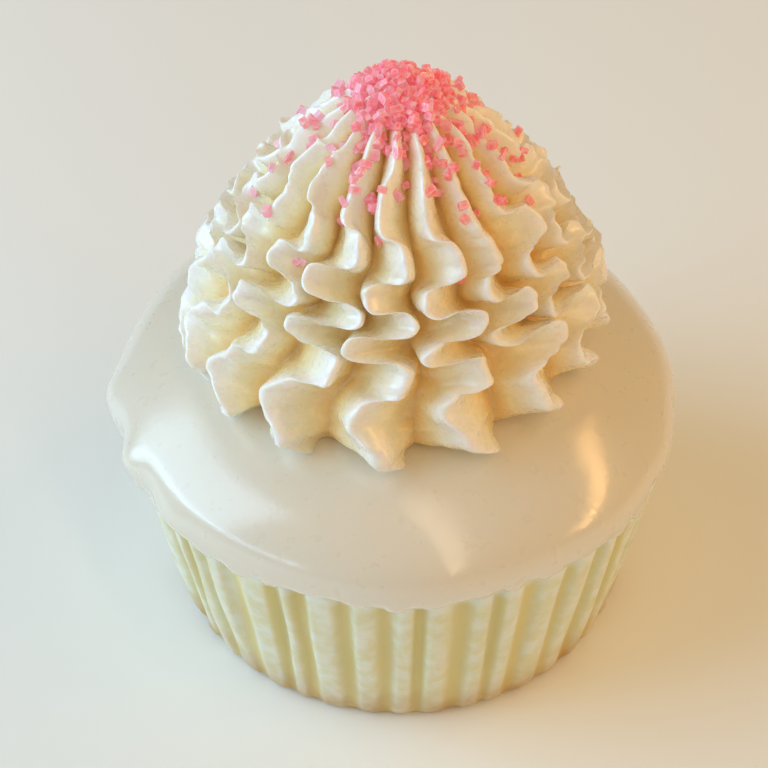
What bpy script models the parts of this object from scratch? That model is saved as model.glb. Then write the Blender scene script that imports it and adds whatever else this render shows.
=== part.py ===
"""A cupcake: a pleated paper cup, the cake baked in it, a poured glaze and a piped ruffle of buttercream.

Everything is in metres, with +Z up. The origin is on the table, under the middle of the glaze. An azimuth
is an angle round the vertical axis from the front, -Y, and grows towards the right, +X.
"""

import math

import bpy

MM = 0.001
GAP = 0.4 * MM  # between pieces that touch

# The paper cup. Its wall leans out from the base to the rim, and its pleats run all the way up.
PLEATS = 44
POINTS_PER_PLEAT = 4
CUP_HEIGHT = 28.7 * MM
CUP_BASE_RADIUS = 30.4 * MM  # halfway between a pleat's crest and its valley
CUP_RIM_RADIUS = 35.3 * MM
PLEAT_DEPTH = 1.6 * MM
PAPER = 0.4 * MM
BASE_CORNER = 1.8 * MM
BASE_PLEAT_SHARE = 0.35  # of the pleat depth, at the edge of the flat base
CORNER_PLEAT_SHARE = 0.75

# The glaze. Its top is half an ellipsoid, and it curls in under its widest line to rest on the cup's rim.
GLAZE_RADIUS = 37.2 * MM
GLAZE_WIDEST_HEIGHT = 31.9 * MM
GLAZE_RISE = 12.5 * MM
GLAZE_THICKNESS = 2.2 * MM
GLAZE_HEM_HEIGHT = 29.2 * MM
GLAZE_HEM_RADIUS = 36.1 * MM
GLAZE_SEGMENTS = 48
LUMPS = 7  # shallow waves round the glaze's edge
LUMP_HEIGHT = 0.35 * MM
CURL_SHARE = 0.3  # of the way in from the widest line to the hem, where the edge turns under
TOP_POINTS = 8  # down the glaze's domed top
DOME_POINTS = 3  # down the inside of the glaze and down the cake's top, which lie a gap apart

# The buttercream, one thick squeeze of a star nozzle, drawn up to a peak.
FINS = 17
POINTS_PER_FIN = 4
FIRST_FIN = math.radians(-4.0)
ICING_CENTRE = (0.6 * MM, 0.9 * MM)
ICING_FOOT_HEIGHT = 41.0 * MM
ICING_PEAK_HEIGHT = 82.0 * MM
ICING_FULL_RADIUS = 28.5 * MM
ICING_PEAK_RADIUS = 0.9 * MM
ICING_SHOULDER = 1.7  # how long the outline stays upright
ICING_POINT = 0.8  # how sharply it comes to the peak
FOOT_TUCK = 0.15  # share of the radius by which the foot is drawn in
FOOT_TUCK_END = 0.14  # share of the height where the tuck ends
VALLEY_DEPTH = 0.27  # share of the radius between two upright fins
LAID_OVER_SHARE = 0.25  # of that depth, where the fins lie right over to one side
CREST_ROUNDING = 0.3

# Each fin sways on its way up. A turn is a height, and how far the fin has swung to the right there.
TURNS = (
    (41.0 * MM, math.radians(2.0)),
    (47.2 * MM, math.radians(4.0)),
    (53.5 * MM, math.radians(-11.0)),
    (57.0 * MM, math.radians(8.0)),
    (60.0 * MM, math.radians(-9.0)),
    (62.2 * MM, math.radians(6.0)),
    (65.2 * MM, math.radians(-6.0)),
    (68.6 * MM, math.radians(6.0)),
    (73.4 * MM, math.radians(-5.0)),
    (82.0 * MM, 0.0),
)
LEVELS_PER_TURN = 3
TURN_LIFT = 1.2 * MM  # the upper turns are this much higher at the left side, and lower at the right
TURN_LIFT_START = 60.0 * MM
TURN_LIFT_RANGE = 6.0 * MM
PEAK_SHARE = 0.125  # of the icing's height, over which the lift dies out again below the peak
FOOT_SHARE = 0.001  # below this share of the height lies the underside


def clear_scene():
    for obj in list(bpy.data.objects):
        bpy.data.objects.remove(obj)


def material(name, colour, roughness):
    made = bpy.data.materials.new(name)
    made.use_nodes = True
    shader = made.node_tree.nodes["Principled BSDF"]
    shader.inputs["Base Color"].default_value = (*colour, 1.0)
    shader.inputs["Roughness"].default_value = roughness
    shader.inputs["Metallic"].default_value = 0.0
    return made


def turned(name, profile, segments):
    """A solid of revolution. The profile starts and ends on the axis, and runs down its outer side."""
    guide_mesh = bpy.data.meshes.new(name + "_profile")
    edges = [(i, i + 1) for i in range(len(profile) - 1)]
    guide_mesh.from_pydata([(radius, 0.0, height) for radius, height in profile], edges, [])
    guide = bpy.data.objects.new(name + "_profile", guide_mesh)
    bpy.context.scene.collection.objects.link(guide)
    screw = guide.modifiers.new("Screw", "SCREW")
    screw.steps = screw.render_steps = segments
    screw.use_merge_vertices = True
    screw.merge_threshold = 0.00001
    graph = bpy.context.evaluated_depsgraph_get()
    solid_mesh = bpy.data.meshes.new_from_object(guide.evaluated_get(graph))
    solid_mesh.name = name
    bpy.data.objects.remove(guide)
    return bpy.data.objects.new(name, solid_mesh)


def reshape(obj, rule):
    """Moves every vertex by a rule that takes and gives its radius, azimuth and height."""
    for vertex in obj.data.vertices:
        x, y, z = vertex.co
        radius, azimuth, height = rule(math.hypot(x, y), math.atan2(x, -y), z)
        vertex.co = (radius * math.sin(azimuth), -radius * math.cos(azimuth), height)


def finish(obj, collection, surface, sharp_angle=math.radians(35)):
    obj.data.materials.append(surface)
    obj.data.shade_smooth()
    obj.data.set_sharp_from_angle(angle=sharp_angle)
    collection.objects.link(obj)


def smooth_step(share):
    share = min(1.0, max(0.0, share))
    return (1 - math.cos(math.pi * share)) / 2


# ---- the paper cup and the cake in it


def cup_radius(height):
    return CUP_BASE_RADIUS + (CUP_RIM_RADIUS - CUP_BASE_RADIUS) * height / CUP_HEIGHT


def pleat(azimuth):
    """From -1 in a valley to 1 on a crest, with flat crests and valleys and straight flanks between them."""
    turn = (azimuth * PLEATS / math.tau) % 1.0
    return max(-1.0, min(1.0, 2 * (abs(4 * turn - 2) - 1)))


def pleated(radius, azimuth, height):
    """Neither the flat middle of the base nor the dome over the rim has pleats."""
    if radius < CUP_BASE_RADIUS - 3 * BASE_CORNER or height > CUP_HEIGHT + GAP:
        share = 0.0
    elif height < BASE_CORNER / 2 or radius < CUP_BASE_RADIUS - BASE_CORNER / 2:
        share = BASE_PLEAT_SHARE
    elif height < 2 * BASE_CORNER:
        share = CORNER_PLEAT_SHARE
    else:
        share = 1.0
    return radius + share * pleat(azimuth) * PLEAT_DEPTH / 2, azimuth, height


def turned_pleats(name, profile):
    """A turned solid with pleats. Its segments are shifted so that each pleat gets the same four points."""
    obj = turned(name, profile, PLEATS * POINTS_PER_PLEAT)
    shift = math.tau / (PLEATS * POINTS_PER_PLEAT) / 2
    reshape(obj, lambda radius, azimuth, height: pleated(radius, azimuth + shift, height))
    return obj


def paper_cup():
    corner = BASE_CORNER
    outside = [
        (CUP_RIM_RADIUS, CUP_HEIGHT),
        (cup_radius(corner), corner),
        (CUP_BASE_RADIUS - corner, 0.0),
        (0.0, 0.0),
    ]
    inside = [
        (0.0, PAPER),
        (CUP_BASE_RADIUS - corner - PAPER, PAPER),
        (cup_radius(corner) - PAPER, corner + PAPER / 2),
        (CUP_RIM_RADIUS - PAPER, CUP_HEIGHT),
    ]
    return turned_pleats("paper_case", inside + outside)


def cake():
    """The crumb fills the cup, pleats and all, and domes up under the glaze."""
    inset = PAPER + GAP
    wall_top = CUP_HEIGHT - GAP
    dome_radius = GLAZE_RADIUS - GLAZE_THICKNESS - GAP
    dome_rise = GLAZE_RISE - GLAZE_THICKNESS - GAP
    profile = half_dome(dome_radius, dome_rise, DOME_POINTS) + [
        (cup_radius(wall_top) - inset, wall_top),
        (cup_radius(BASE_CORNER) - inset, BASE_CORNER + inset),
        (CUP_BASE_RADIUS - BASE_CORNER - inset, inset),
        (0.0, inset),
    ]
    return turned_pleats("cake", profile)


# ---- the glaze


def dome_height(radius):
    """Height of the glaze's domed top."""
    share = min(1.0, radius / GLAZE_RADIUS)
    return GLAZE_WIDEST_HEIGHT + GLAZE_RISE * math.sqrt(1 - share * share)


def half_dome(radius, rise, points):
    """Profile of a half ellipsoid on the glaze's widest line, from its top down."""
    profile = [(0.0, GLAZE_WIDEST_HEIGHT + rise)]
    for i in range(1, points + 1):
        angle = math.pi / 2 * i / points
        profile.append((radius * math.sin(angle), GLAZE_WIDEST_HEIGHT + rise * math.cos(angle)))
    return profile


def lumpy(radius, azimuth, height):
    """Shallow waves round the edge, where the glaze ran down and set. The inside and the top stay round."""
    share = smooth_step((radius - GLAZE_RADIUS + GLAZE_THICKNESS) / GLAZE_THICKNESS)
    wave = math.sin(LUMPS * azimuth + 0.6) + 0.6 * math.sin((LUMPS - 3) * azimuth + 2.0)
    return radius + share * LUMP_HEIGHT * wave / 1.6, azimuth, height


def glaze():
    inner_radius = GLAZE_RADIUS - GLAZE_THICKNESS
    curl_radius = GLAZE_RADIUS - CURL_SHARE * (GLAZE_RADIUS - GLAZE_HEM_RADIUS)
    outside = half_dome(GLAZE_RADIUS, GLAZE_RISE, TOP_POINTS)
    hem = [
        (curl_radius, GLAZE_HEM_HEIGHT + GLAZE_THICKNESS / 3),
        (GLAZE_HEM_RADIUS, GLAZE_HEM_HEIGHT),
        (inner_radius + GAP, GLAZE_HEM_HEIGHT),
    ]
    inside = half_dome(inner_radius, GLAZE_RISE - GLAZE_THICKNESS, DOME_POINTS)
    obj = turned("glaze", outside + hem + inside[::-1], GLAZE_SEGMENTS)
    reshape(obj, lumpy)
    return obj


# ---- the buttercream


def fin_radius(height):
    """Radius of the fins' crests: a beehive with a drawn-in foot and a point."""
    share = (height - ICING_FOOT_HEIGHT) / (ICING_PEAK_HEIGHT - ICING_FOOT_HEIGHT)
    share = min(1.0, max(0.0, share))
    beehive = (1 - share**ICING_SHOULDER) ** ICING_POINT
    tuck = FOOT_TUCK * max(0.0, 1 - share / FOOT_TUCK_END) ** 2
    return max(ICING_PEAK_RADIUS, ICING_FULL_RADIUS * beehive * (1 - tuck))


def swing(height):
    """How far a fin has swung to the right at this height, easing from one turn to the next."""
    for (low, before), (high, after) in zip(TURNS, TURNS[1:]):
        if height <= high:
            return before + (after - before) * smooth_step((height - low) / (high - low))
    return TURNS[-1][1]


def uprightness(height):
    """1 where the fins stand upright and less where they lie over, which packs them closer together."""
    reach = 1.2 * MM
    sideways = fin_radius(height) * (swing(height + reach) - swing(height - reach))
    upright = 2 * reach / math.hypot(2 * reach, sideways)
    return LAID_OVER_SHARE + (1 - LAID_OVER_SHARE) * upright


def crest(turn):
    """1 on a fin's rounded crest, 0 in the sharp valley between two fins; turn is in fins."""
    side = abs(2 * (turn - round(turn)))
    top = math.sqrt(1 + CREST_ROUNDING**2)
    return (top - math.sqrt(side**2 + CREST_ROUNDING**2)) / (top - CREST_ROUNDING)


def fluting(azimuth, height):
    """Share of the crest radius that the surface reaches in this direction, before the fins sway."""
    valley = 1 - crest(azimuth * FINS / math.tau)
    return 1 - VALLEY_DEPTH * uprightness(height) * valley


def glaze_under_icing(radius, azimuth):
    """Height of the glaze under a point given by its radius and azimuth about the icing's own centre."""
    x = ICING_CENTRE[0] + radius * math.sin(azimuth)
    y = ICING_CENTRE[1] - radius * math.cos(azimuth)
    return dome_height(math.hypot(x, y))


def ruffled(radius, azimuth, height):
    """The underside lies on the glaze, inside the foot's outline. The side rises from there in fins."""
    swayed = azimuth + FIRST_FIN + swing(height)
    foot = fin_radius(ICING_FOOT_HEIGHT) * fluting(azimuth, ICING_FOOT_HEIGHT)
    share = (height - ICING_FOOT_HEIGHT) / (ICING_PEAK_HEIGHT - ICING_FOOT_HEIGHT)
    if share < FOOT_SHARE:
        radius = radius * fluting(azimuth, ICING_FOOT_HEIGHT)
        return radius, swayed, glaze_under_icing(radius, swayed) + GAP
    bottom = glaze_under_icing(foot, swayed) + GAP
    lift = TURN_LIFT * smooth_step((height - TURN_LIFT_START) / TURN_LIFT_RANGE)
    lift *= min(1.0, (1 - share) / PEAK_SHARE)
    risen = bottom + share * (ICING_PEAK_HEIGHT - bottom) - lift * math.sin(azimuth)
    return radius * fluting(azimuth, height), swayed, risen


def buttercream():
    side = [(0.0, ICING_PEAK_HEIGHT)]
    for (low, _), (high, _) in reversed(list(zip(TURNS, TURNS[1:]))):
        for i in range(LEVELS_PER_TURN):
            height = high + (low - high) * (i + 0.5) / LEVELS_PER_TURN
            side.append((fin_radius(height), height))
    foot, rings = fin_radius(ICING_FOOT_HEIGHT), 3
    underside = [(foot * (1 - i / rings), ICING_FOOT_HEIGHT) for i in range(rings + 1)]
    obj = turned("buttercream", side + underside, FINS * POINTS_PER_FIN)
    reshape(obj, ruffled)
    return obj


def main():
    clear_scene()
    cupcake = bpy.data.collections.new("cupcake")
    bpy.context.scene.collection.children.link(cupcake)
    finish(paper_cup(), cupcake, material("paper", (0.80, 0.78, 0.60), 0.75))
    finish(cake(), cupcake, material("sponge", (0.78, 0.58, 0.28), 0.9))
    finish(glaze(), cupcake, material("white_glaze", (0.84, 0.78, 0.68), 0.18))
    icing = buttercream()
    icing.location = (*ICING_CENTRE, 0.0)
    finish(icing, cupcake, material("ivory_icing", (0.86, 0.76, 0.55), 0.4), math.radians(75))


main()
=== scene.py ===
"""The looks of a cupcake: ruffled buttercream, glossy glaze, a pleated paper case and pink sanding sugar.

Lengths are in metres. An azimuth is an angle round the vertical axis from the front, -Y, towards the
right, +X. The buttercream is described by its fins: a lateral place is counted in fins, and a place along
a fin is an arc length from its foot.
"""

import math

import bmesh
import bpy
import numpy as np
from mathutils import Matrix, Vector
from mathutils.bvhtree import BVHTree


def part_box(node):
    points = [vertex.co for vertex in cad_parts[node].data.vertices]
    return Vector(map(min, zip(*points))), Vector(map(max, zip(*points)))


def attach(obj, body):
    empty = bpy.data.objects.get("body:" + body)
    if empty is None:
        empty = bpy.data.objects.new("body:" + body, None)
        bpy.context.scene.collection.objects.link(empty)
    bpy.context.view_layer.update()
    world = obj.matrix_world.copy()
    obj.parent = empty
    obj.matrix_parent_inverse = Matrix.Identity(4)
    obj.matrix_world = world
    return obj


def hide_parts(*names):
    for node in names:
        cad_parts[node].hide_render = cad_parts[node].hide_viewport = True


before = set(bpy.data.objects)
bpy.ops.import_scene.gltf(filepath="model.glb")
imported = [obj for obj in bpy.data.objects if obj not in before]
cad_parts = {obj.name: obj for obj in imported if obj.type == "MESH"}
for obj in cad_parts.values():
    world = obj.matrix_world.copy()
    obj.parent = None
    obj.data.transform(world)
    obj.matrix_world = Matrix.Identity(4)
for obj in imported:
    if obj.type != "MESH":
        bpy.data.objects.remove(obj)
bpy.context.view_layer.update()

MM = 0.001
TABLE_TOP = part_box("paper_case")[0].z

# ---- the buttercream: sizes repeated from the CAD, and the ruffles that the CAD leaves out
FINS = 17
FIRST_FIN = math.radians(-4.0)
ICING_SHOULDER = 1.7
ICING_POINT = 0.8
FOOT_TUCK = 0.15
FOOT_TUCK_END = 0.14
PEAK_RADIUS = 0.9 * MM
CREST_REACH = 1.03  # how far the crests reach past the CAD outline, as a share of its radius
ROWS = 205
COLUMNS_PER_FIN = 26
FIN_DEPTH = ((0.0, 3.0 * MM), (6.5 * MM, 5.2 * MM), (22.0 * MM, 5.4 * MM), (32.0 * MM, 4.2 * MM))
CREST_ROUNDING = 0.65
TIP_ROUNDING = 0.25
TIP_TIER = 6.0 * MM
FOOT_HOLLOWNESS = 2.8  # how steeply a ruffle's flanks fall away under its lip, at the foot and above it
HOLLOWNESS = 2.6
HOLLOWNESS_TIER = 7.0 * MM
RUFFLES_END = (19.0 * MM, 13.0 * MM)  # where the ruffles start to give way to ridges, and over what length
RIDGE_SHAPE = 1.75  # higher up: 1 would be a sharp ridge between flat flanks, and 2 a round one
ROOT_SHARE = 0.2  # how much of a crest's sway its root takes part in
LEAN = (-0.4 * MM, 0.0)
FOOT_LEAN = (-1.2 * MM, 0.2 * MM)
FOOT_TIER = 12.0 * MM
SPLAY = 0.16  # how far the fins spread apart at the front of the foot, closing up at its sides
SPLAY_CENTRE = math.radians(8.0)
SPLAY_TIER = 26.0 * MM
CROWDED_SWING = 0.26  # extra, finer folds of the fins on the left, in fins
CROWDED_RATE = 9.5
CROWDED_TIER = 20.0 * MM
RIGHT_SIDE_DROP = 1.5 * MM  # how much lower the turns sit on the right than in front
DROP_START, DROP_TIER, DROP_END = 11.0 * MM, 10.0 * MM, 38.0 * MM
TURN_STRAY = 0.35 * MM
SWING_STRAY = 0.11
CRINKLES = ((0.05, 7.5, 1), (0.03, 13.0, 2))  # size in fins, radians from turn to turn, multiple of the phase
CRINKLE_TIER = 40.0 * MM
LARGEST_OVERHANG = 1.4
CLOSE_TURNS = 5.2 * MM  # turns nearer together than this fold over each other
LUMPS = (1.8, 5.0)  # the shortest and longest waves of the icing's unevenness, in millimetres
LUMP_HEIGHT = 0.06 * MM
TIPS_SUNK = 0.4 * MM
TIPS_TIER = 7.0 * MM

# Turns of a fin from its foot to the peak: arc length, and lateral swing in fins.
TURNS = (
    (0.0 * MM, 0.44),
    (10.6 * MM, -0.30),
    (16.6 * MM, 0.44),
    (19.6 * MM, -0.48),
    (22.3 * MM, 0.50),
    (25.6 * MM, -0.40),
    (29.8 * MM, 0.38),
    (36.0 * MM, -0.20),
    (44.0 * MM, 0.05),
)

# Fine ripples along a lip: radians from one turn to the next, and heights in millimetres.
RIPPLE_RATES = (1.7, 4.3, 9.1, 23.0)
RIPPLE_HEIGHTS = (0.25, 0.25, 0.22, 0.09)

# ---- the paper case
PLEATS = 44
PLEAT_DEPTH = 1.6 * MM
PAPER = 0.25 * MM
CASE_CENTRE = (0.8 * MM, 0.0)
CASE_FLARE = 4.9 * MM
CASE_CORNER = 1.8 * MM
TUCKED_UNDER_HEM = 0.9 * MM

# ---- the glaze
WIDEST_OVER_HEM = 2.7 * MM

# ---- the sugar
CRYSTALS_TRIED = 1200
HEAP_SHARE = 0.66
HEAP_AND_SKIRT_SHARE = 0.95
HEAP_RADIUS = 7.4 * MM
SUGAR_REACH = 27.0 * MM
CRYSTAL_WIDTHS = (0.8 * MM, 1.15 * MM)


# ---------------------------------------------------------------- helpers


def smooth_step(share):
    share = np.clip(share, 0.0, 1.0)
    return (1 - np.cos(np.pi * share)) / 2


def cylinder_point(radius, azimuth, height, centre=(0.0, 0.0)):
    x = centre[0] + radius * np.sin(azimuth)
    y = centre[1] - radius * np.cos(azimuth)
    return np.stack(np.broadcast_arrays(x, y, height), axis=-1)


def waves(seed, count, lowest, highest, azimuth):
    """A smooth random wave round the axis, between about -1 and 1."""
    rng = np.random.default_rng(seed)
    total = np.zeros_like(azimuth)
    for _ in range(count):
        total += np.sin(rng.integers(lowest, highest + 1) * azimuth + rng.uniform(0, math.tau))
    return total / math.sqrt(count)


def ring_mesh(name, rings, cap_first=True, cap_last=True):
    """A mesh over an array of rings of points, ring by ring, each ring closed on itself."""
    rows, columns, _ = rings.shape
    points = rings.reshape(-1, 3)
    here = np.arange(rows * columns).reshape(rows, columns)
    along = np.roll(here, -1, axis=1)
    quads = np.stack([here[:-1], here[1:], along[1:], along[:-1]], axis=-1).reshape(-1, 4)
    faces = quads.tolist()
    extra = []
    for wanted, row, flip in ((cap_first, 0, False), (cap_last, rows - 1, True)):
        if not wanted:
            continue
        middle = len(points) + len(extra)
        extra.append(rings[row].mean(axis=0))
        for a, b in zip(here[row], along[row]):
            faces.append([middle, b, a] if flip else [middle, a, b])
    if extra:
        points = np.concatenate([points, np.array(extra)])
    mesh = bpy.data.meshes.new(name)
    mesh.from_pydata(points.tolist(), [], faces)
    mesh.shade_smooth()
    return mesh


def add_piece(name, mesh, surface, node=None):
    piece = bpy.data.objects.new(name, mesh)
    bpy.context.scene.collection.objects.link(piece)
    mesh.materials.append(surface)
    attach(piece, "root")
    if node:
        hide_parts(node)
    return piece


def set_attribute(mesh, name, values):
    attribute = mesh.attributes.new(name, "FLOAT", "POINT")
    padded = np.zeros(len(mesh.vertices), dtype=np.float32)
    padded[: values.size] = values.ravel()
    attribute.data.foreach_set("value", padded)


# ---------------------------------------------------------------- buttercream shape


class Beehive:
    """The outline that the fins' crests reach, looked up by arc length from the foot."""

    def __init__(self):
        low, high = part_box("buttercream")
        self.centre = ((low.x + high.x) / 2 + LEAN[0], (low.y + high.y) / 2 + LEAN[1])
        full = max(high.x - low.x, high.y - low.y) / 2
        share = np.linspace(0.0, 1.0, 600)
        outline = np.maximum(0.0, 1 - share**ICING_SHOULDER) ** ICING_POINT
        tuck = FOOT_TUCK * np.maximum(0.0, 1 - share / FOOT_TUCK_END) ** 2
        self.radii = np.maximum(PEAK_RADIUS, CREST_REACH * full * outline * (1 - tuck))
        self.heights = low.z + share * (high.z - low.z)
        steps = np.hypot(np.diff(self.radii), np.diff(self.heights))
        self.arcs = np.concatenate([[0.0], np.cumsum(steps)])
        self.length = self.arcs[-1]
        run = np.gradient(full * outline, self.arcs)
        rise = np.gradient(self.heights, self.arcs)
        size = np.hypot(run, rise)
        self.out_radial = rise / size
        self.out_up = -run / size

    def at(self, arc, depth):
        """Radius and height of the point this deep under the outline."""
        radius = np.interp(arc, self.arcs, self.radii)
        height = np.interp(arc, self.arcs, self.heights)
        radial = np.interp(arc, self.arcs, self.out_radial)
        up = np.interp(arc, self.arcs, self.out_up)
        return radius - depth * radial, height - depth * up


def fin_paths(hive, travel):
    """Crest paths: arcs and swings by row and fin. travel runs along a fin, one unit from turn to turn."""
    rng = np.random.default_rng(11)
    turns = list(TURNS) + [(hive.length, 0.0)]
    count = len(turns)
    azimuths = FIRST_FIN + np.arange(FINS) * math.tau / FINS
    arcs = np.array([arc for arc, _ in turns])[:, None] + np.zeros((count, FINS))
    swings = np.array([swing for _, swing in turns])[:, None] + np.zeros((count, FINS))
    drop = RIGHT_SIDE_DROP * smooth_step((arcs - DROP_START) / DROP_TIER) * (arcs < DROP_END)
    arcs = arcs - drop * np.sin(azimuths)
    inner = slice(1, count - 1)
    arcs[inner] += rng.normal(0.0, TURN_STRAY, (count - 2, FINS))
    swings[inner] += rng.normal(0.0, SWING_STRAY, (count - 2, FINS))
    swings[-2] *= 0.3
    arcs[0], arcs[-1] = 0.0, hive.length
    turn = np.clip(travel.astype(int), 0, count - 2)
    share = (travel - turn)[:, None]
    gap = arcs[turn + 1] - arcs[turn]
    overhang = np.clip(2.0 - gap / CLOSE_TURNS, 0.1, LARGEST_OVERHANG)
    straight = arcs[turn] + gap * share
    folded = straight + overhang * gap / math.tau * np.sin(math.tau * share)
    swing = swings[turn] + (swings[turn + 1] - swings[turn]) * smooth_step(share)
    phases = rng.uniform(0, math.tau, FINS)
    crinkle = sum(size * np.sin(rate * travel[:, None] + part * phases) for size, rate, part in CRINKLES)
    swing += crinkle * (1 - smooth_step(straight / CRINKLE_TIER))
    on_the_left = smooth_step((-np.sin(azimuths) - 0.2) / 0.5)
    crowded = on_the_left * (1 - smooth_step(straight / CROWDED_TIER))
    swing += CROWDED_SWING * crowded * np.sin(CROWDED_RATE * travel[:, None] + phases)
    return straight, folded, swing


def splayed(azimuth, arc):
    """The azimuth of a place on a fin once the fins are spread apart at the front of the foot."""
    spread = SPLAY * np.sin(2 * (azimuth - SPLAY_CENTRE))
    return azimuth + spread * (1 - smooth_step(arc / SPLAY_TIER))


def valley_depth(hive, arc):
    """How deep the valleys between the fins are; near the peak they get shallower with the radius."""
    arcs, depths = zip(*FIN_DEPTH)
    return np.minimum(np.interp(arc, arcs, depths), 0.3 * np.interp(arc, hive.arcs, hive.radii))


def fin_profile(spread, arc):
    """Height over the root, from 1 on the crest to 0 in the valley, where spread is 1."""
    ridge = 1 - spread**RIDGE_SHAPE
    rounding = TIP_ROUNDING + (CREST_ROUNDING - TIP_ROUNDING) * smooth_step(arc / TIP_TIER)
    reach = np.sqrt(spread**2 + rounding**2) - rounding
    steepness = FOOT_HOLLOWNESS + (HOLLOWNESS - FOOT_HOLLOWNESS) * smooth_step(arc / HOLLOWNESS_TIER)
    end = np.exp(-steepness * (np.sqrt(1 + rounding**2) - rounding))
    lip = (np.exp(-steepness * reach) - end) / (1 - end)
    start, tier = RUFFLES_END
    ruffled = 1 - smooth_step((arc - start) / tier)
    return ridge * (1 - ruffled) + lip * ruffled


def grain(points, share):
    """The slight unevenness of whipped icing, as a push outwards at each point."""
    rng = np.random.default_rng(17)
    push = np.zeros(points.shape[:2])
    for _ in range(14):
        heading = rng.normal(size=3)
        rate = math.tau / (rng.uniform(*LUMPS) * MM) * heading / np.linalg.norm(heading)
        push += np.sin(points @ rate + rng.uniform(0, math.tau))
    flat = points * np.array([1.0, 1.0, 0.0])
    outward = flat / np.maximum(1e-6, np.linalg.norm(flat, axis=-1, keepdims=True))
    return outward * (LUMP_HEIGHT * push * share)[..., None]


def gap_to_glaze(points):
    """How far the foot has to come down for its tips to sink slightly into the glaze."""
    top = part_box("glaze")[1].z
    _, full, widest = glaze_outline()
    radius = np.hypot(points[..., 0], points[..., 1])
    dome = widest + (top - widest) * np.sqrt(np.maximum(0.0, 1 - (radius / full) ** 2))
    return np.maximum(0.0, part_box("buttercream")[0].z - dome + TIPS_SUNK)


def icing_rings(hive):
    """Points of the ruffled side, from the foot up, and how deep in a valley each one lies."""
    turns = np.array([arc for arc, _ in TURNS] + [hive.length])
    sway = np.abs(np.diff([swing for _, swing in TURNS] + [0.0])) * 9 * MM
    lengths = np.hypot(np.diff(turns), sway) + 1.5 * MM
    along = np.concatenate([[0.0], np.cumsum(lengths)])
    travel = np.interp(np.linspace(0, along[-1], ROWS), along, np.arange(len(along)))
    straight, folded, swing = fin_paths(hive, travel)

    columns = FINS * COLUMNS_PER_FIN
    place = np.arange(columns) / COLUMNS_PER_FIN
    fin = np.round(place).astype(int)
    side = place - fin
    left = np.floor(place).astype(int) % FINS
    right = (left + 1) % FINS
    blend = smooth_step(place - np.floor(place))
    fin = fin % FINS

    pitch = math.tau / FINS
    root_arc = straight[:, left] * (1 - blend) + straight[:, right] * blend
    root_swing = ROOT_SHARE * (swing[:, left] * (1 - blend) + swing[:, right] * blend)
    radius_here = np.interp(root_arc, hive.arcs, hive.radii)
    azimuth = FIRST_FIN + (place + root_swing) * pitch
    radius, height = hive.at(root_arc, valley_depth(hive, root_arc))
    root = cylinder_point(radius, splayed(azimuth, root_arc), height, hive.centre)

    fin_azimuth = FIRST_FIN + np.arange(FINS) * pitch
    under_radius = np.interp(straight, hive.arcs, hive.radii)
    radius, height = hive.at(straight, valley_depth(hive, straight))
    under_azimuth = splayed(fin_azimuth + ROOT_SHARE * swing * pitch, straight)
    under = cylinder_point(radius, under_azimuth, height, hive.centre)
    rng = np.random.default_rng(5)
    ups = rng.uniform(0, math.tau, (len(RIPPLE_RATES), FINS))
    rate = np.array(RIPPLE_RATES)[:, None, None]
    size = np.array(RIPPLE_HEIGHTS)[:, None, None] * MM
    ripple = (size * np.sin(rate * travel[None, :, None] + ups[:, None, :])).sum(axis=0)
    radius, height = hive.at(folded, ripple * np.minimum(1, under_radius / (10 * MM)))
    crest = cylinder_point(radius, splayed(fin_azimuth + swing * pitch, straight), height, hive.centre)

    profile = fin_profile(np.abs(2 * side), root_arc)
    points = root + profile[..., None] * (crest - under)[:, fin]
    near_foot = np.maximum(0.0, 1 - root_arc / FOOT_TIER)
    points[..., 0] += FOOT_LEAN[0] * near_foot
    points[..., 1] += FOOT_LEAN[1] * near_foot
    points += grain(points, np.minimum(1.0, radius_here / (12 * MM)))
    points[..., 2] -= gap_to_glaze(points) * (1 - smooth_step(root_arc / TIPS_TIER))
    return points, 1 - profile


def buttercream_mesh():
    hive = Beehive()
    rings, depths = icing_rings(hive)
    centre = np.array([hive.centre[0], hive.centre[1], 0.0])
    foot = rings[0]
    tucked = []
    for shrink, drop in ((0.6, 3.0 * MM), (0.9, 1.6 * MM), (0.97, 0.6 * MM)):
        ring = centre + (foot - centre) * np.array([shrink, shrink, 1.0])
        ring[:, 2] -= drop
        tucked.append(ring)
    rings = np.concatenate([np.array(tucked), rings])
    depths = np.concatenate([np.ones((3, depths.shape[1])), depths])
    mesh = ring_mesh("buttercream_ruffles", rings[::-1])
    # The valley depth drives the painted shade in the creases, in the buttercream's colour.
    set_attribute(mesh, "valley", depths[::-1])
    return mesh


# ---------------------------------------------------------------- glaze, case and cake shapes


def glaze_outline():
    """Radius, height, and how much the shape may stray there, from the dome's middle down to the hem."""
    low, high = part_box("glaze")
    full = (high.x - low.x + high.y - low.y) / 4 - 0.2 * MM
    widest = low.z + WIDEST_OVER_HEM
    rise = high.z - widest
    outline = []
    for share in np.linspace(0.02, 1.0, 60):
        angle = math.pi / 2 * share
        outline.append((full * math.sin(angle), widest + rise * math.cos(angle), 1.0))
    for angle in np.linspace(0.1, 1.0, 12) * math.radians(105):
        curl = 1.5 * MM * (1 - math.cos(angle))
        outline.append((full - curl, widest - 2.9 * MM * math.sin(angle), 1.0))
    for share in np.linspace(0.25, 1.0, 5):
        outline.append((full - (1.9 + 2.0 * share) * MM, widest + (2.5 * share - 2.6) * MM, 0.2))
    return outline, full, widest


def bump_at(azimuth, height, place, size):
    """A soft bump on the glaze, 1 at its middle; place and size are an azimuth and a height."""
    around = np.angle(np.exp(1j * (azimuth - place[0]))) / size[0]
    return np.exp(-(around**2) - ((height - place[1]) / size[1]) ** 2)


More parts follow.
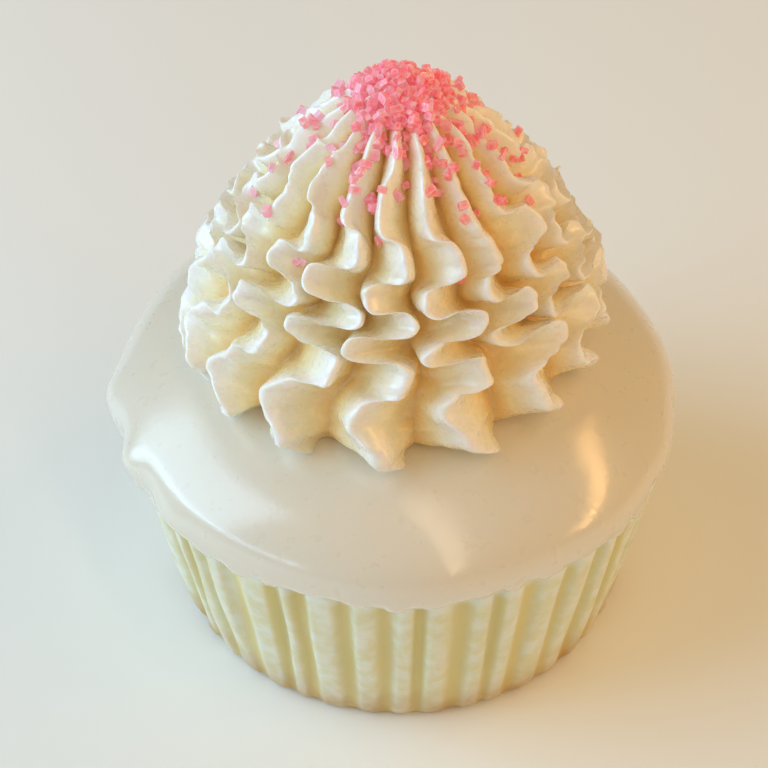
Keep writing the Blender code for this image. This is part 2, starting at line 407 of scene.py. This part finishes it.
# Where the glaze ran, folded or dented: azimuth and height above its widest line, width and height, push.
GLAZE_MARKS = (
    (-86, 0.8, 6, 2.4, 1.0),
    (-74, -0.4, 3.5, 2.2, -0.9),
    (-66, 0.8, 4.5, 2.0, 0.9),
    (-58, -0.8, 3.5, 2.0, -0.6),
    (-49, -0.2, 5, 1.6, 0.45),
    (62, -1.5, 1.6, 1.2, -0.9),
    (83, 0.2, 1.8, 1.4, -0.9),
    (70, 0.5, 7, 2.5, 0.4),
    (120, -0.5, 6, 2.0, 0.6),
    (165, 0.0, 8, 2.5, 0.5),
    (-140, -0.5, 5, 2.0, -0.5),
    (115, 1.0, 26, 9.0, -0.6),
)


def glaze_mesh():
    outline, full, widest = glaze_outline()
    columns = PLEATS * 14
    azimuth = np.arange(columns) * math.tau / columns
    edge = waves(3, 5, 2, 9, azimuth)
    hem = waves(4, 4, 3, 12, azimuth)
    over_pleats = np.maximum(0.0, pleat(azimuth)) * (0.6 + 0.4 * waves(6, 3, 5, 20, azimuth))
    rings = []
    for radius, height, loose in outline:
        outer = smooth_step((radius / full - 0.75) / 0.25)
        low_down = smooth_step((widest - 0.5 * MM - height) / (2.5 * MM))
        side = (height - widest) / MM
        push = sum(
            amount * bump_at(azimuth, side, (math.radians(place), up), (math.radians(wide), tall))
            for place, up, wide, tall, amount in GLAZE_MARKS
        )
        swell = waves(8, 6, 2, 7, azimuth + 3 * radius / full) * 0.14 * MM * smooth_step(radius / full)
        ring_radius = radius + loose * outer * (0.25 * MM * edge + 1.0 * MM * push)
        ring_radius = ring_radius + loose * low_down * 0.35 * MM * over_pleats
        ring_height = height + low_down * (0.3 * hem - 0.45 * over_pleats) * MM + swell * (1 - low_down)
        rings.append(cylinder_point(ring_radius, azimuth, ring_height))
    return ring_mesh("glaze_coat", np.array(rings), cap_last=False)


def case_radius(height):
    low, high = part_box("paper_case")
    rim = (high.x - low.x) / 2 - PLEAT_DEPTH / 2
    base = rim - CASE_FLARE
    return base + (rim - base) * (height - low.z) / (high.z - low.z)


def pleat(azimuth):
    """From -1 in a narrow valley to 1 on a broad rounded crest."""
    stray = 0.012 * waves(31, 4, 6, 24, azimuth)
    wave = np.cos((azimuth + stray) * PLEATS)
    breadth = 0.35 + 0.15 * waves(32, 4, 8, 30, azimuth)
    return np.tanh(1.6 * (wave + breadth)) / math.tanh(1.6 * 1.35)


def case_rings(inset):
    """The case's wall from the middle of its base to its rim, moved in by inset; and its pleats."""
    low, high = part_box("paper_case")
    tall = high.z - low.z + TUCKED_UNDER_HEM
    corner = CASE_CORNER
    columns = PLEATS * 16
    azimuth = np.arange(columns) * math.tau / columns
    shape = pleat(azimuth)
    rings = []
    for share in (0.5, 0.85):
        radius = case_radius(low.z) * share + 0 * azimuth
        rings.append(cylinder_point(radius, azimuth, low.z + inset, CASE_CENTRE))
    for angle in np.linspace(0.0, math.pi / 2, 8)[:-1]:
        radius = case_radius(low.z + corner) - corner * (1 - math.sin(angle))
        depth = 0.5 * PLEAT_DEPTH * (0.12 + 0.2 * math.sin(angle))
        height = low.z + corner * (1 - math.cos(angle)) + inset
        rings.append(cylinder_point(radius + depth * shape - inset, azimuth, height, CASE_CENTRE))
    wobble = waves(21, 6, 3, 30, azimuth)
    for height in np.linspace(corner, tall, 30):
        share = height / tall
        depth = 0.5 * PLEAT_DEPTH * (0.3 + 0.5 * smooth_step(share / 0.45))
        drift = 0.25 * MM * np.sin(math.pi * share) * wobble
        drift = drift + 0.1 * MM * waves(22, 5, 10, 40, azimuth + 0.3 * share)
        radius = case_radius(low.z + height) + depth * pleat(azimuth + 0.02 * wobble * share) + drift
        rings.append(cylinder_point(radius - inset, azimuth, low.z + height, CASE_CENTRE))
    return np.array(rings), shape


def paper_case_mesh():
    outer, crest = case_rings(0.0)
    inner, _ = case_rings(PAPER)
    rings = np.concatenate([outer, inner[::-1]])
    mesh = ring_mesh("paper_case_pleats", rings)
    set_attribute(mesh, "crest", np.broadcast_to(crest, rings.shape[:2]))
    return mesh


def cake_mesh():
    outer, _ = case_rings(PAPER + 0.35 * MM)
    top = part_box("cake")[1].z - 0.3 * MM
    columns = outer.shape[1]
    azimuth = np.arange(columns) * math.tau / columns
    wall_top = outer[-3]
    rings = list(outer[:-2])
    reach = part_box("glaze")[1].x - 3.5 * MM
    for share in np.linspace(0.0, 0.97, 16):
        angle = math.pi / 2 * share
        round_ring = cylinder_point(reach * math.cos(angle) + 0 * azimuth, azimuth, 0.0)
        blend = smooth_step(0.3 + share * 3)
        ring = wall_top * math.cos(angle) * (1 - blend) + round_ring * blend
        ring[:, 2] = wall_top[0, 2] + 0.4 * MM + (top - wall_top[0, 2]) * math.sin(angle)
        rings.append(ring)
    return ring_mesh("sponge_body", np.array(rings))


# ---------------------------------------------------------------- sugar


def crystal_kinds(rng, count):
    """Chipped blocks about one unit across: their points, faces, and which points lie on the edges."""
    kinds = []
    for _ in range(count):
        lump = bmesh.new()
        for x in (-1, 1):
            for y in (-1, 1):
                for z in (-1, 1):
                    corner = np.array([x, y, z]) * 0.5
                    for axis in range(3):
                        chip = np.ones(3)
                        chip[axis] = rng.uniform(0.45, 0.95)
                        lump.verts.new(corner * chip * rng.uniform(0.9, 1.0))
        bmesh.ops.convex_hull(lump, input=lump.verts)
        bmesh.ops.delete(lump, geom=[v for v in lump.verts if not v.link_faces], context="VERTS")
        bmesh.ops.dissolve_limit(lump, angle_limit=0.3, verts=lump.verts, edges=lump.edges)
        corners = len(lump.verts)
        bmesh.ops.poke(lump, faces=lump.faces)
        lump.verts.index_update()
        points = np.array([v.co for v in lump.verts])
        rim = (np.arange(len(points)) < corners).astype(float)
        kinds.append((points, [[v.index for v in face.verts] for face in lump.faces], rim))
        lump.free()
    return kinds


def random_turn(rng):
    q = rng.normal(size=4)
    w, x, y, z = q / np.linalg.norm(q)
    return np.array([
        [1 - 2 * (y * y + z * z), 2 * (x * y - z * w), 2 * (x * z + y * w)],
        [2 * (x * y + z * w), 1 - 2 * (x * x + z * z), 2 * (y * z - x * w)],
        [2 * (x * z - y * w), 2 * (y * z + x * w), 1 - 2 * (x * x + y * y)],
    ])


def landing_place(rng):
    """Distance from the peak and azimuth of one crystal: a heap, its skirt, and strays in front."""
    chance = rng.random()
    azimuth = rng.uniform(-math.pi, math.pi)
    if chance < HEAP_SHARE:
        return HEAP_RADIUS * rng.random() ** 0.6, azimuth
    if chance < HEAP_AND_SKIRT_SHARE:
        sideways = 1 + 1.6 * math.sin(azimuth) ** 2
        return 6.0 * MM + rng.exponential(2.0 * MM) * sideways, azimuth
    return 10.0 * MM + rng.exponential(5.5 * MM), rng.normal(0.15, 0.8)


def sugar_mesh(icing):
    rng = np.random.default_rng(42)
    hive = Beehive()
    tree = BVHTree.FromPolygons([v.co for v in icing.vertices], [side.vertices for side in icing.polygons])
    kinds = crystal_kinds(rng, 12)
    middle = Vector((*hive.centre, 0.0))
    centres, points, faces, tints, rims = [], [], [], [], []
    first = 0
    for _ in range(CRYSTALS_TRIED):
        from_peak, azimuth = landing_place(rng)
        if from_peak > SUGAR_REACH:
            continue
        arc = hive.length - from_peak
        across = Vector((math.sin(azimuth), -math.cos(azimuth), 0.0))
        radial = float(np.interp(arc, hive.arcs, hive.out_radial))
        up = float(np.interp(arc, hive.arcs, hive.out_up))
        outward = (radial * across + Vector((0.0, 0.0, up))).normalized()
        radius, height = hive.at(arc, -4 * MM)
        radius = min(float(radius), from_peak)
        start = middle + radius * across + Vector((0.0, 0.0, float(height)))
        hit = tree.ray_cast(start, -outward, 0.02)[0]
        if hit is None:
            continue
        width = rng.uniform(*CRYSTAL_WIDTHS)
        length = width * (rng.uniform(1.4, 2.0) if rng.random() < 0.3 else rng.uniform(1.0, 1.25))
        centre = np.array(hit + outward * 0.25 * width)
        lifted = 0.0
        while centres and np.min(np.linalg.norm(np.array(centres) - centre, axis=1)) < 0.8 * width:
            centre = centre + np.array(outward) * 0.25 * width
            lifted += 0.25 * width
        if lifted > 0.5 * MM:
            continue
        centres.append(centre)
        shape, sides, rim = kinds[rng.integers(len(kinds))]
        size = np.array([length, width, width * rng.uniform(0.7, 1.0)])
        points.append((shape * size) @ random_turn(rng).T + centre)
        faces += [[first + i for i in side] for side in sides]
        # Crystals on the left get a paler, lavender tint and those on the right a deeper coral one: painted
        # light, standing for the cool light from the left and the warm light from the right. The rest of the
        # tint is random.
        sideways = min(1.0, max(-1.0, centre[0] / (12 * MM)))
        tints.append(np.full(len(shape), 0.5 + 0.6 * (rng.random() - 0.5) - 0.35 * sideways))
        rims.append(rim)
        first += len(shape)
    mesh = bpy.data.meshes.new("sanding_sugar")
    mesh.from_pydata(np.concatenate(points).tolist(), [], faces)
    set_attribute(mesh, "tint", np.concatenate(tints))
    set_attribute(mesh, "rim", np.concatenate(rims))
    return mesh


# ---------------------------------------------------------------- materials


class Surface:
    """A Principled material, with short calls for the nodes that feed it."""

    def __init__(self, name, **sockets):
        self.material = bpy.data.materials.new(name)
        self.material.use_nodes = True
        self.tree = self.material.node_tree
        self.shader = self.tree.nodes["Principled BSDF"]
        for socket, value in sockets.items():
            self.shader.inputs[socket.replace("_", " ")].default_value = value

    def node(self, kind, inputs=None, **settings):
        made = self.tree.nodes.new(kind)
        for key, value in settings.items():
            setattr(made, key, value)
        for key, value in (inputs or {}).items():
            if isinstance(value, bpy.types.NodeSocket):
                self.tree.links.new(value, made.inputs[key])
            else:
                made.inputs[key].default_value = value
        return made

    def link(self, value, socket):
        self.tree.links.new(value, self.shader.inputs[socket])

    def position(self):
        return self.node("ShaderNodeNewGeometry").outputs["Position"]

    def attribute(self, name):
        return self.node("ShaderNodeAttribute", attribute_name=name).outputs["Fac"]

    def noise(self, scale, detail=3.0, roughness=0.55):
        made = self.node(
            "ShaderNodeTexNoise",
            {"Vector": self.position(), "Scale": scale, "Detail": detail, "Roughness": roughness},
        )
        return made.outputs["Fac"]

    def ramp(self, value, stops):
        made = self.node("ShaderNodeValToRGB", {"Fac": value})
        elements = made.color_ramp.elements
        while len(elements) < len(stops):
            elements.new(0.5)
        for element, (place, colour) in zip(elements, stops):
            element.position = place
            element.color = (*colour, 1.0)
        return made.outputs["Color"]

    def grey_ramp(self, value, *stops):
        return self.ramp(value, [(place, (grey,) * 3) for place, grey in stops])

    def mix(self, share, first, second, blend="MIX"):
        made = self.node("ShaderNodeMix", data_type="RGBA", blend_type=blend)
        for index, value in ((0, share), (6, first), (7, second)):
            if isinstance(value, bpy.types.NodeSocket):
                self.tree.links.new(value, made.inputs[index])
            else:
                made.inputs[index].default_value = value if index == 0 else (*value, 1.0)
        return made.outputs[2]

    def math(self, operation, first, second):
        made = self.node("ShaderNodeMath", operation=operation)
        for index, value in ((0, first), (1, second)):
            if isinstance(value, bpy.types.NodeSocket):
                self.tree.links.new(value, made.inputs[index])
            else:
                made.inputs[index].default_value = value
        return made.outputs[0]

    def bump(self, height, distance, strength=1.0, socket="Normal"):
        made = self.node("ShaderNodeBump", {"Height": height, "Distance": distance, "Strength": strength})
        self.link(made.outputs["Normal"], socket)


def buttercream_surface():
    surface = Surface(
        "ivory_buttercream",
        Subsurface_Weight=0.5,
        Subsurface_Radius=(1.0, 0.6, 0.25),
        Subsurface_Scale=0.75 * MM,
        Specular_IOR_Level=0.8,
        Coat_Weight=0.35,
        Coat_Roughness=0.16,
    )
    valley = surface.attribute("valley")
    # Golden deep in each valley and near-white on the crests: painted shade, with warm bounced light, in the
    # creases between the fins. The buttercream itself is one ivory, apart from the random patches below.
    stops = [
        (0.0, (0.98, 0.97, 0.94)),
        (0.35, (0.97, 0.90, 0.73)),
        (0.7, (0.95, 0.78, 0.43)),
        (1.0, (0.82, 0.50, 0.11)),
    ]
    colour = surface.ramp(valley, stops)
    patches = surface.noise(180.0, 3.0)
    colour = surface.mix(surface.math("MULTIPLY", patches, 0.2), colour, (0.94, 0.89, 0.76))
    surface.link(colour, "Base Color")
    surface.link(surface.grey_ramp(surface.noise(900.0, 2.0), (0.3, 0.22), (0.7, 0.36)), "Roughness")
    surface.bump(surface.noise(800.0, 2.0), 0.1 * MM, 0.6)
    return surface.material


def glaze_surface():
    surface = Surface(
        "white_sugar_glaze",
        Subsurface_Weight=0.4,
        Subsurface_Radius=(1.0, 0.7, 0.4),
        Subsurface_Scale=1.5 * MM,
        Coat_Weight=1.0,
        Coat_IOR=1.6,
        Coat_Roughness=0.05,
    )
    patches = surface.noise(40.0, 2.0)
    colour = surface.ramp(patches, [(0.3, (0.78, 0.74, 0.63)), (0.7, (0.80, 0.76, 0.67))])
    surface.link(colour, "Base Color")
    surface.link(surface.grey_ramp(surface.noise(500.0, 2.0), (0.3, 0.26), (0.7, 0.36)), "Roughness")
    surface.bump(surface.noise(2400.0, 2.0), 0.03 * MM, 1.0, "Coat Normal")
    return surface.material


def paper_surface():
    surface = Surface("greaseproof_paper", Subsurface_Weight=0.3, Subsurface_Scale=1.0 * MM)
    low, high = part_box("paper_case")
    height = surface.node("ShaderNodeSeparateXYZ", {"Vector": surface.position()}).outputs["Z"]
    patches = surface.noise(420.0, 4.0)
    ridge = surface.ramp(patches, [(0.38, (0.80, 0.75, 0.50)), (0.62, (0.87, 0.85, 0.73))])
    crest = surface.node(
        "ShaderNodeMapRange",
        {"Value": surface.attribute("crest"), "From Min": -0.8, "From Max": 0.75},
    ).outputs[0]
    # The pleat valleys are darker and yellower than the crests: partly the paper's own tone, partly painted
    # shade in the folds.
    colour = surface.mix(crest, (0.78, 0.66, 0.31), ridge)
    near_base = surface.node(
        "ShaderNodeMapRange",
        {
            "Value": height,
            "From Min": low.z + 1 * MM,
            "From Max": low.z + 9 * MM,
            "To Min": 1.0,
            "To Max": 0.0,
        },
    ).outputs[0]
    blotches = surface.grey_ramp(surface.noise(160.0, 3.0), (0.3, 0.25), (0.7, 1.0))
    browned = surface.math("MULTIPLY", surface.math("POWER", near_base, 1.6), blotches)
    colour = surface.mix(browned, colour, (0.50, 0.27, 0.07))
    near_rim = surface.node(
        "ShaderNodeMapRange",
        {"Value": height, "From Min": high.z - 2 * MM, "From Max": high.z - 0.5 * MM, "To Max": 0.8},
    ).outputs[0]
    colour = surface.mix(near_rim, colour, (0.88, 0.88, 0.82))
    surface.link(colour, "Base Color")
    surface.link(surface.grey_ramp(patches, (0.3, 0.5), (0.7, 0.7)), "Roughness")
    surface.bump(surface.noise(1800.0, 4.0), 0.08 * MM, 0.6)
    return surface.material


def sponge_surface():
    surface = Surface("sponge_crumb", Roughness=0.9)
    crumb = surface.noise(900.0, 4.0)
    surface.link(surface.ramp(crumb, [(0.35, (0.55, 0.36, 0.12)), (0.65, (0.80, 0.62, 0.30))]), "Base Color")
    surface.bump(crumb, 0.4 * MM, 0.8)
    return surface.material


def sugar_surface():
    surface = Surface(
        "pink_sanding_sugar",
        Roughness=0.12,
        IOR=1.5,
        Alpha=0.68,
        # The emission is painted light: a faint pink glow standing for light that passes through the
        # crystals.
        Emission_Color=(1.0, 0.22, 0.30, 1.0),
        Emission_Strength=0.12,
    )
    tint = surface.attribute("tint")
    # Coral to lavender: a random spread of tone, plus painted light from side to side, set where each crystal
    # is placed.
    stops = [
        (0.1, (1.0, 0.15, 0.08)),
        (0.4, (1.0, 0.19, 0.25)),
        (0.75, (1.0, 0.32, 0.48)),
        (1.0, (0.94, 0.66, 0.94)),
    ]
    colour = surface.ramp(tint, stops)
    streaks = surface.grey_ramp(surface.noise(1400.0, 1.0), (0.42, 0.0), (0.6, 1.0))
    paleness = surface.math("MULTIPLY", surface.math("POWER", surface.attribute("rim"), 2.5), 0.5)
    paleness = surface.math("ADD", paleness, surface.math("MULTIPLY", streaks, 0.35))
    surface.link(surface.mix(paleness, colour, (1.0, 0.78, 0.84)), "Base Color")
    surface.bump(streaks, 0.03 * MM, 0.4)
    return surface.material


def floor_surface():
    surface = Surface("pale_floor", Roughness=0.7)
    colour = surface.ramp(surface.noise(8.0, 2.0), [(0.3, (0.90, 0.95, 0.98)), (0.7, (0.92, 0.97, 1.0))])
    surface.link(colour, "Base Color")
    return surface.material


# ---------------------------------------------------------------- stage


def build_floor():
    half = 2.0
    mesh = bpy.data.meshes.new("floor")
    points = [(-half, -half, 0.0), (half, -half, 0.0), (half, half, 0.0), (-half, half, 0.0)]
    mesh.from_pydata([(x, y, TABLE_TOP + z) for x, y, z in points], [], [(0, 1, 2, 3)])
    mesh.materials.append(floor_surface())
    floor = bpy.data.objects.new("floor", mesh)
    bpy.context.scene.collection.objects.link(floor)


def direction(azimuth, elevation):
    around, up = math.radians(azimuth), math.radians(elevation)
    return Vector((math.sin(around) * math.cos(up), -math.cos(around) * math.cos(up), math.sin(up)))


def add_strip(name, first, last, distance, width, power, colour):
    """A long soft light that faces the cupcake; first and last are its ends' azimuths and elevations."""
    aim = Vector((0.0, 0.0, 45 * MM))
    ends = [aim + distance * direction(*end) for end in (first, last)]
    middle = (ends[0] + ends[1]) / 2
    along = (ends[1] - ends[0]).normalized()
    back = (middle - aim).normalized()
    side = back.cross(along)
    light = bpy.data.lights.new(name, "AREA")
    light.shape = "RECTANGLE"
    light.size = (ends[1] - ends[0]).length
    light.size_y = width
    light.energy = power
    light.color = colour
    obj = bpy.data.objects.new(name, light)
    obj.matrix_world = Matrix.Translation(middle) @ Matrix((along, side, back)).transposed().to_4x4()
    bpy.context.scene.collection.objects.link(obj)


def build_lights():
    add_strip("window", (-114, 22), (-56, 36), 0.6, 0.46, 2.35, (0.50, 0.77, 1.0))
    add_strip("window_frame", (-104, 13), (-34, 9), 0.6, 0.02, 0.4, (0.42, 0.72, 1.0))
    add_strip("lamp", (120, 48), (60, 8), 0.6, 0.018, 0.8, (1.0, 0.55, 0.19))
    add_strip("ceiling", (52, 82), (26, 15), 0.7, 0.009, 0.45, (1.0, 0.78, 0.5))
    world = bpy.data.worlds.new("studio")
    world.use_nodes = True
    world.node_tree.nodes["Background"].inputs["Color"].default_value = (1.0, 0.73, 0.43, 1.0)
    world.node_tree.nodes["Background"].inputs["Strength"].default_value = 0.42
    bpy.context.scene.world = world
    bpy.context.scene.view_settings.view_transform = "Standard"


def build_camera():
    elevation, distance = math.radians(44.3), 292.4 * MM
    aim = Vector((-1.57 * MM, 0.0, 32.0 * MM))
    camera = bpy.data.cameras.new("camera")
    camera.lens = 103.2
    camera.sensor_width = 36.0
    camera.clip_start = 0.01
    obj = bpy.data.objects.new("camera", camera)
    obj.location = Vector((0.0, -distance * math.cos(elevation), aim.z + distance * math.sin(elevation)))
    obj.rotation_euler = (aim - obj.location).to_track_quat("-Z", "Y").to_euler()
    bpy.context.scene.collection.objects.link(obj)
    bpy.context.scene.camera = obj


def main():
    build_camera()
    build_floor()
    build_lights()
    icing = buttercream_mesh()
    add_piece("buttercream_ruffles", icing, buttercream_surface(), "buttercream")
    add_piece("glaze_coat", glaze_mesh(), glaze_surface(), "glaze")
    add_piece("paper_case_pleats", paper_case_mesh(), paper_surface(), "paper_case")
    add_piece("sponge_body", cake_mesh(), sponge_surface(), "cake")
    add_piece("sanding_sugar", sugar_mesh(icing), sugar_surface())


main()
